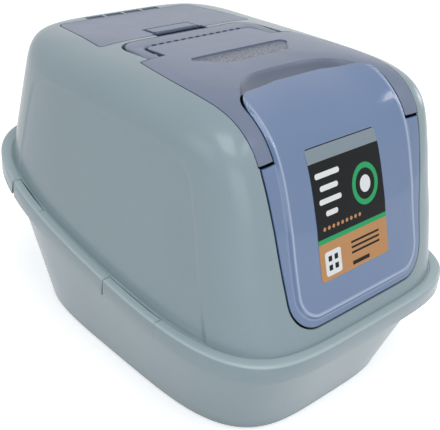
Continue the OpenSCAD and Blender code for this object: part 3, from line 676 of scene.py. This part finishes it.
def tongue_outline():
    """The outline of the visor from above."""
    side = [(visor_half(y), y) for y in np.linspace(VISOR_FRONT, VISOR_REAR, 25)]
    tongue = [(104.5, VISOR_REAR)] + corner_arc(95.5, 53.5, 9, 0, 90, 9)
    right = [(visor_half(VISOR_FRONT), AHEAD)] + side + tongue
    return right + [(-x, y) for x, y in right[::-1]]


def across(x0, x1, y, z, radius, sides):
    """A round bar across the box."""
    return placed(prism(circle(0, 0, radius, sides), x0, x1), (0, y, z), (0, 90, 0))


def at_pivot(piece):
    return placed(piece, (0, PIVOT_Y, PIVOT_Z), (DOOR_LEAN, 0, 0))


def door_sweep():
    """The space that the top edge of the door's raised panel turns through, about the pivot."""
    xs = np.concatenate([[-135.5], np.linspace(-132.9, 132.9, 61), [135.5]])
    edge = np.array(panel_outline(0))
    edge = edge[(edge[:, 1] > -200)]
    edge = edge[np.argsort(edge[:, 0])]
    y = np.interp(xs, edge[:, 0], edge[:, 1])
    reach = np.hypot(y - PIVOT_Y, roof_height(xs, y) + 3 - PIVOT_Z) + 1.6
    turn = np.radians(np.arange(120)*3)
    return loft("cutter", [[(x, PIVOT_Y + r*math.cos(t), PIVOT_Z + r*math.sin(t)) for t in turn]
                           for x, r in zip(xs, reach)])


visor = skin_solid(0)
visor.name = visor.data.name = "lifting_visor"
carve(visor, prism(tongue_outline(), 411, SKY), "INTERSECT")
inside = skin_solid(-SKIN, 300)
carve(inside, hollow_above(-SKIN, SKIN))
for m in (1, -1):
    x0, x1 = sorted(m*x for x in EAR)
    carve(inside, box(x0, 28, 461, x1, 40, 480))
    x0, x1 = sorted(m*x for x in BEARING)
    carve(inside, at_pivot(box(x0, -24.5, -4.5, x1, -4.5, 4.5)))
carve(visor, hollow_above(0, 0))
carve(visor, inside)
carve(visor, prism(panel_outline(2.5), 300, SKY))
carve(visor, door_sweep())
for m in (1, -1):
    x0, x1 = sorted(m*x for x in BEARING)
    carve(visor, at_pivot(box(x0, -4.5, -4.5, x1, 4.5, 4.5)))
grip = prism(hull(discs((84, -24, 8), (54, -48, 12))), 440, SKY)
carve(visor, carve(grip, skin_solid(-2.4)))
smooth(visor.data, 32)


def inside_lens(x, y):
    """1 inside the grip's outline."""
    side = (np.abs(x) - 92 + (-16 - y)*26/44)*0.86
    return step(np.maximum.reduce([side, y + 16, -60 - y]) + 2.5, 2)


x, y = corners(visor).T[:2]
paint(visor, "grip", inside_lens(x, y))
# The hollow mask marks where shade is painted into the arched hollow.
paint(visor, "hollow", np.clip((arch_line(x) + 1 - y)/5, 0, 1)*(np.abs(x) < 121)*(y > -215))

# The grip carries a leather grain with a pale speckle, and painted shade darkens the arched hollow: a dark slate mixed
# into its colour.
GRIPPED = SLATE.copy()
GRIPPED.name = "slate_plastic_with_grained_grip"
tree = GRIPPED.node_tree
mask = node(tree, "ShaderNodeAttribute", attribute_name="grip").outputs["Fac"]
place = node(tree, "ShaderNodeTexCoord").outputs["Object"]
leather = node(tree, "ShaderNodeTexVoronoi", {"Vector": place, "Scale": 520.0}, feature="DISTANCE_TO_EDGE")
spark = noise(tree, place, 420.0, 2.5)
coarse = reckon(tree, "MULTIPLY", leather.outputs["Distance"], spark)
normal = shader_inputs(GRIPPED)["Normal"]
grained = node(tree, "ShaderNodeBump", {"Strength": 0.95, "Distance": 0.003, "Normal": normal.links[0].from_socket,
                                        "Height": reckon(tree, "MULTIPLY", coarse, mask)})
tree.links.new(grained.outputs[0], normal)
speckle = blend(tree, spread(tree, spark, 0.42, 0.6), (0.33, 0.355, 0.42), (0.085, 0.095, 0.125))
tint_and_painted_light(GRIPPED, "grip", speckle, 0.85)
# Painted shade in the arched hollow.
tint_and_painted_light(GRIPPED, "hollow", (0.075, 0.09, 0.125), 0.55)
dress(visor, "visor", "visor_plastic", GRIPPED, "visor")
finish(SLATE, "visor_hinge_ears", "door_bearings")

# ---------------------------------------------------------------------------------------- swing door
# The door is a flap of smoked blue polystyrene, glossy and slightly see-through, with a raised panel and a
# rolled bead round it. It hangs from two lugs whose pins turn in the visor's bearings.
DOOR_GAP, DOOR_WALL, DOOR_REACH, LUG = 3, 2.5, 159.0, (125, 130)
DOOR_TOP = MOUTH_TOP - 2.4


def front_surface(off, across_share, s, turn):
    """Points of the front at a share of the width, on rows given by s and turn."""
    row_f = np.cos(turn)**(2/FRONT[1])
    x = np.abs(across_share)*np.minimum(DOOR_REACH, 0.93*208*row_f)
    low, high = np.full_like(x, -math.pi/2), np.full_like(x, -0.05)
    for _ in range(40):
        q = (low + high)/2
        less = skin_point(off, q, s, turn)[..., 0] < x
        low, high = np.where(less, q, low), np.where(less, high, q)
    points = skin_point(off, (low + high)/2, s, turn)
    points[..., 0] *= np.sign(across_share)
    return points


def front_grid(share, s_rows, turn_rows):
    """The last three values of front_surface, spread over a grid."""
    s, across_share = np.meshgrid(s_rows, share, indexing="ij")
    return across_share, s, np.broadcast_to(turn_rows[:, None], s.shape)


def chained(*runs):
    """Values over runs of (start, end, count) that meet, with each meeting point once."""
    return np.concatenate([np.linspace(*runs[0])] + [np.linspace(*run)[1:] for run in runs[1:]])


def panel_distance(points):
    """How far points lie outside the raised panel, seen from the front."""
    x, z = np.abs(points[..., 0]), points[..., 2]
    half = PANEL_W - PANEL_TAPER*np.clip((400 - z)/(400 - PANEL_Z), 0, 1)
    qx, qz = x - (half - PANEL_R), PANEL_Z + PANEL_R - z
    return np.hypot(np.maximum(qx, 0), np.maximum(qz, 0)) + np.minimum(np.maximum(qx, qz), 0) - PANEL_R


def door_relief(points):
    """The height of the raised panel and of the bead along its edge."""
    d = panel_distance(points)
    return 3.0*step(d + 1.4, 4.4) + 0.55*np.exp(-((d + 5.2)/1.7)**2)


half_share = chained((0, 0.54, 16), (0.54, 0.76, 20), (0.76, 0.88, 20), (0.88, 1, 8))
lower = chained((0.06, 0.30, 26), (0.30, 0.56, 24), (0.56, 1, 16))
upper = np.arcsin(np.linspace(0.03, 0.958, 62)**2.15)
grid = front_grid(np.concatenate([-half_share[:0:-1], half_share]), np.concatenate([lower, np.ones_like(upper)]),
                  np.concatenate([np.zeros_like(lower), upper]))
outer = front_surface(0.0, *grid)
for _ in range(2):
    outer = front_surface(door_relief(outer), *grid)
inner = front_surface(door_relief(outer) - DOOR_WALL, *grid)
door = grid_solid("swing_flap", outer[:, ::-1], inner[:, ::-1])
flap = prism(sill_outline(MOUTH_W - DOOR_GAP, MOUTH_Z + DOOR_GAP, MOUTH_R - DOOR_GAP, MOUTH_TAPER, DOOR_TOP),
             AHEAD, -100, "y")
panel = prism(sill_outline(PANEL_W, PANEL_Z, PANEL_R, PANEL_TAPER), AHEAD, -50, "y")
carve(panel, prism(panel_outline(0), 100, SKY), "INTERSECT")
carve(door, carve(flap, panel, "UNION"), "INTERSECT")
for m in (1, -1):
    x0, x1 = sorted(m*x for x in LUG)
    pad = carve(at_pivot(box(x0, -26, -5, x1, -6, 5)), skin_solid(0.6), "INTERSECT")
    carve(door, pad, "UNION")
    carve(door, at_pivot(box(x0, -6, -5, x1, 5, 5)))
smooth(door.data, 40)

SMOKE = plastic("smoked_blue_plastic", (0.098, 0.176, 0.345), (0.090, 0.166, 0.330), gloss=0.11, peel=60.0,
                relief=0.05, edge=0.0013, flecks=0.0,
                **{"Coat Weight": 0.4, "Coat Roughness": 0.05, "Transmission Weight": 0.04})
# The rim mask paints highlights: a paler blue along the bead round the panel and, fainter, at the foot of the panel's
# step.
past = panel_distance(corners(door))
paint(door, "rim", np.exp(-((past + 5.6)/1.9)**2) + 0.35*np.exp(-((past - 1.0)/1.5)**2))
tint_and_painted_light(SMOKE, "rim", (0.50, 0.60, 0.78), 0.6)
dress(door, "door", "door_plastic", SMOKE, "swing_door")
finish(SMOKE, "door_hinge_lugs")

# ---------------------------------------------------------------------------------------- door label
# A printed vinyl panel is stuck on the door's raised panel: a charcoal field between a grey strip and an
# orange foot with a green line over it, with plain bars, rings, dots and a tile of squares.
LABEL_X, LABEL_HALF, LABEL_LOW, LABEL_HIGH, LABEL_R = -9, 71, 245, 411, 5
upper = np.arcsin(np.linspace(0.03, 0.68, 30)**2.15)
grid = front_grid(np.linspace(-82/DOOR_REACH, 64/DOOR_REACH, 60),
                  np.concatenate([np.linspace(0.40, 1, 24), np.ones_like(upper)]),
                  np.concatenate([np.zeros(24), upper]))
label = grid_solid("door_panel_print", front_surface(3.45, *grid)[:, ::-1], front_surface(3.07, *grid)[:, ::-1])
outline = [point for x in (LABEL_X - LABEL_HALF + LABEL_R, LABEL_X + LABEL_HALF - LABEL_R)
           for z in (LABEL_LOW + LABEL_R, LABEL_HIGH - LABEL_R) for point in circle(x, z, LABEL_R, 30)]
carve(label, prism(hull(outline), AHEAD, -100, "y"), "INTERSECT")
smooth(label.data, 40)


def printed_block():
    """1 inside a block of ink with rounded corners, centred at X, Z (metres), else 0."""
    sizes = [("X", 0.0), ("Z", 0.33), ("Half Width", 0.01), ("Half Height", 0.01), ("Corner", 0.002)]
    tree, given, result = effect("printed_block", sizes, ["Ink"])
    place = node(tree, "ShaderNodeSeparateXYZ", {0: node(tree, "ShaderNodeTexCoord").outputs["Object"]}).outputs
    past = []
    for axis, middle, half in ((0, "X", "Half Width"), (2, "Z", "Half Height")):
        away = reckon(tree, "ABSOLUTE", reckon(tree, "SUBTRACT", place[axis], given[middle]))
        beyond = reckon(tree, "ADD", reckon(tree, "SUBTRACT", away, given[half]), given["Corner"])
        past.append(reckon(tree, "POWER", reckon(tree, "MAXIMUM", beyond, 0.0), 2.0))
    distance = reckon(tree, "POWER", reckon(tree, "ADD", *past), 0.5)
    tree.links.new(reckon(tree, "LESS_THAN", distance, given["Corner"]), result["Ink"])
    return tree


INK = printed_block()
CHARCOAL, GREEN, GREY = (0.008, 0.009, 0.010), (0.030, 0.36, 0.130), (0.24, 0.29, 0.33)
ORANGE, WHITE = (0.53, 0.27, 0.12), (0.78, 0.79, 0.79)
# Blocks of ink in millimetres: tone, middle in x and z, half width, half height and corner radius.
fields = [(tone, LABEL_X, z, 80, half, 0.1) for tone, z, half in ((ORANGE, 262, 32), (GREEN, 297, 3.2), (GREY, 402, 8))]
rings = [(tone, 24, 348, r, r, r - 0.1) for tone, r in ((GREEN, 27), (CHARCOAL, 20), (WHITE, 11))]
bars = [(WHITE, -48, z, half, 3.4, 3.3) for z, half in ((378, 24), (362, 18), (346, 22), (330, 12))]
dots = [(ORANGE, -66 + 9*k, 312, 2.6, 2.6, 2.5) for k in range(9)]
tile = [(WHITE, -54, 266, 16, 16, 4)]
tile += [(CHARCOAL, -60 + 12*i, 260 + 12*j, 3.6, 3.6, 1) for i in (0, 1) for j in (0, 1)]
lines = [(CHARCOAL, 14, z, 30, 1.5, 0.7) for z in (280, 273, 266)] + [(CHARCOAL, 2, 252, 18, 2.6, 1.3)]

PRINT, tree = blank("printed_vinyl")
ink = CHARCOAL
for tone, *sizes in fields + rings + bars + dots + tile + lines:
    names = ("X", "Z", "Half Width", "Half Height", "Corner")
    block = node(tree, "ShaderNodeGroup", {key: value*0.001 for key, value in zip(names, sizes)}, node_tree=INK)
    ink = blend(tree, block.outputs["Ink"], ink, tone)
grain = node(tree, "ShaderNodeGroup", {"Peel Scale": 700.0, "Gloss": 0.5}, node_tree=GRAIN).outputs
bump = node(tree, "ShaderNodeBump", {"Strength": 0.08, "Distance": 0.0004, "Height": grain["Height"]})
body = node(tree, "ShaderNodeBsdfPrincipled", {"Base Color": ink, "Roughness": grain["Roughness"], "IOR": 1.5,
                                               "Normal": bump.outputs[0], "Specular IOR Level": 0.12})
node(tree, "ShaderNodeOutputMaterial", {"Surface": body.outputs[0]})
dress(label, "door", "label_paper", PRINT, "door_label")

# -------------------------------------------------------------------------------------- carry handle
# The slate handle is a flat bail with rounded edges that lies flush in its well round the visor's tongue.
# Its legs turn on steel pins, which two sage bosses hold in the hood.
BAIL_OUT, BAIL_IN, BAIL_FRONT = 129.6, 108.6, 21
ROUND_OUT, ROUND_IN = 28.6, 11.6        # the rear corners' radii, outside and inside
x, y = BAIL_OUT - ROUND_OUT, 67
outside = [(BAIL_OUT, BAIL_FRONT)] + corner_arc(x, y, ROUND_OUT, 0, 90)
outside += corner_arc(-x, y, ROUND_OUT, 90, 180) + [(-BAIL_OUT, BAIL_FRONT)]
x, y = BAIL_IN - ROUND_IN, 55
inside = [(-BAIL_IN, BAIL_FRONT)] + corner_arc(-x, y, ROUND_IN, 180, 90) + corner_arc(x, y, ROUND_IN, 90, 0)
handle = prism([(BAIL_IN, BAIL_FRONT)] + outside + inside, 456, 465)
handle.name = handle.data.name = "carry_bail"
soft = handle.modifiers.new("soft", "BEVEL")
soft.width, soft.segments, soft.limit_method, soft.angle_limit = 0.003, 5, "ANGLE", math.radians(50)
bpy.context.view_layer.update()
handle.data = bpy.data.meshes.new_from_object(handle.evaluated_get(bpy.context.evaluated_depsgraph_get()))
handle.modifiers.clear()
for x in (-130.4, 107.8):
    carve(handle, across(x + 0.1, x + 22.5, 34, 456, 8.9, 64), "UNION")
NOTCHES, NOTCH_PITCH, NOTCH_W = 13, 14, 8
for k in range(NOTCHES):
    x = NOTCH_PITCH*k - 88
    carve(handle, box(x, 64, 450, x + NOTCH_W, 70.4, 470))
smooth(handle.data, 38)
dress(handle, "handle", "lid_plastic", SLATE, "carry_handle")
finish(STEEL, "handle_pins")
finish(SAGE, "pin_bosses")

# --------------------------------------------------------------------------------- compartment's lid
# The slate lid closes the filter and storage compartment. It follows the roof's curve, turns on a steel rod
# through four eyes under the slots at its rear edge, and snaps shut with a raised finger tab.
lid = skin_solid(0)
lid.name = lid.data.name = "compartment_lid"
carve(lid, prism(lid_outline(0), 300, SKY), "INTERSECT")
under = skin_solid(-SKIN, 300)
for x in SLOTS:
    carve(under, box(x - 15.5, ROD_Y - 16, ROD_Z + 2, x + 15.5, ROD_Y - 9.5, ROD_Z + 22))
for x in (-139, 139):
    carve(under, on_roof(box(x - 4, 110 - LID_MID, -7.3, x + 4, 115 - LID_MID, 12.7)))
carve(lid, under)
carve(lid, box(-50, 100, 300, 50, 116, 600))
carve(lid, carve(box(-46, 109, 300, 46, 146, 600), skin_solid(-2.8)))
carve(lid, box(-35, 140.2, 300, 35, 146, 600))
smooth(lid.data, 32)
dress(lid, "lid", "lid_plastic", SLATE, "storage_lid")

TAB_W, TAB_FRONT, TAB_REAR, BEAD_Y = 41, 116, 140.5, 118.3
tab = carve(skin_solid(0.9), box(-TAB_W, TAB_FRONT, 300, TAB_W, TAB_REAR, 600), "INTERSECT")
tab.name = tab.data.name = "finger_tab"
carve(tab, skin_solid(-2.7, 300))
carve(tab, across(-TAB_W, TAB_W, BEAD_Y, roof_z(BEAD_Y) - 0.2, 2.3, 40), "UNION")
smooth(tab.data, 32)
dress(tab, "lid", "lid_plastic", SLATE, "lid_latch")
finish(SLATE, "lid_hinge_eyes")
finish(STEEL, "lid_hinge_rod")

# --------------------------------------------------------------------------------------- compartment
# Under the lid hangs a slate tub with a grille in its floor. A charcoal foam filter lies over the grille,
# and the slotted litter scoop is kept beside it.
INNER = plastic("inner_slate_plastic", (0.215, 0.243, 0.312), (0.203, 0.231, 0.298), gloss=0.42)
finish(INNER, "compartment_tub", "filter_grille", "litter_scoop")
TUB_DEPTH, TUB_FLOOR, GRILLE, SEAT = 62, 2.2, 2, 0.05


def filter_pad():
    """A foam slab whose faces swell a little and whose edges are rounded."""
    V, U = np.meshgrid(np.linspace(-1, 1, 31), np.linspace(-1, 1, 41), indexing="ij")
    edge = (1 - np.abs(U)**14)**0.5*(1 - np.abs(V)**12)**0.5
    dimple = 0.12*np.sin(U*19)*np.sin(V*14)
    rise = 4.4*edge*(0.9 + 0.1*(1 - U*U)*(1 - V*V)) + dimple*edge
    top, bottom = (np.stack([U*60, V*42, height], -1) for height in (4.5 + rise, 4.5 - 4.45*edge))
    pad = grid_solid("filter_foam_pad", top, bottom, 80)
    return on_roof(pad, (-52, -4, -LID_DEPTH - TUB_DEPTH + TUB_FLOOR + GRILLE + SEAT))


def foam():
    """Open-celled charcoal foam, dull and rough."""
    material, tree = blank("charcoal_filter_foam")
    place = node(tree, "ShaderNodeTexCoord").outputs["Object"]
    cells = node(tree, "ShaderNodeTexVoronoi", {"Vector": place, "Scale": 620.0}).outputs["Distance"]
    threads = noise(tree, place, 1300.0, 3.0)
    tone = blend(tree, spread(tree, cells, 0.0, 0.8), (0.010, 0.010, 0.011), (0.045, 0.046, 0.048))
    rough = node(tree, "ShaderNodeMapRange", {"Value": threads, "To Min": 0.8, "To Max": 1.0})
    bump = node(tree, "ShaderNodeBump", {"Strength": 0.8, "Distance": 0.0015,
                                         "Height": reckon(tree, "ADD", cells, threads)})
    body = node(tree, "ShaderNodeBsdfPrincipled", {"Base Color": tone, "Roughness": rough.outputs[0],
                                                   "Normal": bump.outputs[0]})
    node(tree, "ShaderNodeOutputMaterial", {"Surface": body.outputs[0]})
    return material


dress(filter_pad(), "hood", "filter_foam", foam(), "carbon_filter")

# -------------------------------------------------------------------------------------------- studio
# A plain pale floor and soft light from five panels. The background reads white to the camera, in gloss
# and through the door.


def backdrop_rays(tree):
    """1 for the rays that show the background: the camera's, and those seen in gloss and through glass."""
    path = node(tree, "ShaderNodeLightPath").outputs
    either = reckon(tree, "MAXIMUM", path["Is Camera Ray"], path["Is Glossy Ray"])
    return reckon(tree, "MAXIMUM", either, path["Is Transmission Ray"])


def floor_grid(z, half=6000):
    return [[(-half, -half, z), (-half, half, z)], [(half, -half, z), (half, half, z)]]


FLOOR, tree = blank("pale_floor")
seen = reckon(tree, "MULTIPLY", backdrop_rays(tree), 0.56)
cloth = node(tree, "ShaderNodeBsdfDiffuse", {"Color": (0.86, 0.86, 0.86, 1)})
glow = node(tree, "ShaderNodeEmission", {"Color": (1, 1, 1, 1), "Strength": seen})
both = node(tree, "ShaderNodeAddShader", {0: cloth.outputs[0], 1: glow.outputs[0]})
node(tree, "ShaderNodeOutputMaterial", {"Surface": both.outputs[0]})
floor = grid_solid("floor", floor_grid(0), floor_grid(-20))
floor.data.flip_normals()
floor.data.materials.append(FLOOR)

world = bpy.data.worlds.new("studio")
bpy.context.scene.world = world
world.use_nodes = True
tree = world.node_tree
tree.nodes.clear()
white_seen = node(tree, "ShaderNodeBackground", {"Color": (1, 1, 1, 1), "Strength": 1.0})
light = node(tree, "ShaderNodeBackground", {"Color": (0.93, 0.97, 1.0, 1), "Strength": 0.5})
choose = node(tree, "ShaderNodeMixShader", {0: backdrop_rays(tree), 1: light.outputs[0], 2: white_seen.outputs[0]})
node(tree, "ShaderNodeOutputWorld", {"Surface": choose.outputs[0]})


def softbox(name, place, target, width, height, watts):
    """A rectangular light panel at place that faces target (metres)."""
    lamp = bpy.data.lights.new(name, "AREA")
    lamp.shape, lamp.size, lamp.size_y, lamp.energy = "RECTANGLE", width, height, watts
    held = bpy.data.objects.new(name, lamp)
    held.location = place
    held.rotation_euler = (Vector(target) - Vector(place)).to_track_quat("-Z", "Y").to_euler()
    bpy.context.scene.collection.objects.link(held)


softbox("key_overhead", (-0.6, -0.9, 2.4), (0, 0, 0.25), 1.5, 1.5, 20)
softbox("left_fill", (-2.4, 0.4, 1.2), (0, 0, 0.25), 1.4, 1.4, 5)
softbox("front_band", (1.45, -1.85, 2.5), (0, 0, 0.4), 1.7, 0.4, 6)
softbox("low_fill", (-1.2, -2.3, 0.7), (0, 0, 0.12), 2.2, 1.0, 9)
softbox("right_strip", (2.3, -0.4, 0.75), (0, 0, 0.25), 0.5, 0.5, 3)

# The camera stands in front on the left, looks down on the box and is tipped a little to one side.
yaw, pitch, roll = 0.78687, 0.50595, -0.08619
ahead = Vector((math.sin(yaw)*math.cos(pitch), math.cos(yaw)*math.cos(pitch), -math.sin(pitch)))
level = Vector((math.cos(yaw), -math.sin(yaw), 0))
down = ahead.cross(level)
right = math.cos(roll)*level + math.sin(roll)*down
down = -math.sin(roll)*level + math.cos(roll)*down
aim = Matrix((right, -down, -ahead)).transposed().to_4x4()
eye = bpy.data.objects.new("camera", bpy.data.cameras.new("camera"))
eye.matrix_world = Matrix.Translation((-0.8257, -0.8230, 0.8322)) @ aim
eye.data.lens, eye.data.sensor_width = 67.87, 36
eye.data.shift_x, eye.data.shift_y = 0.0127, 0.0045
eye.data.clip_start = 0.02
bpy.context.scene.collection.objects.link(eye)
bpy.context.scene.camera = eye
bpy.context.scene.view_settings.view_transform = "Standard"
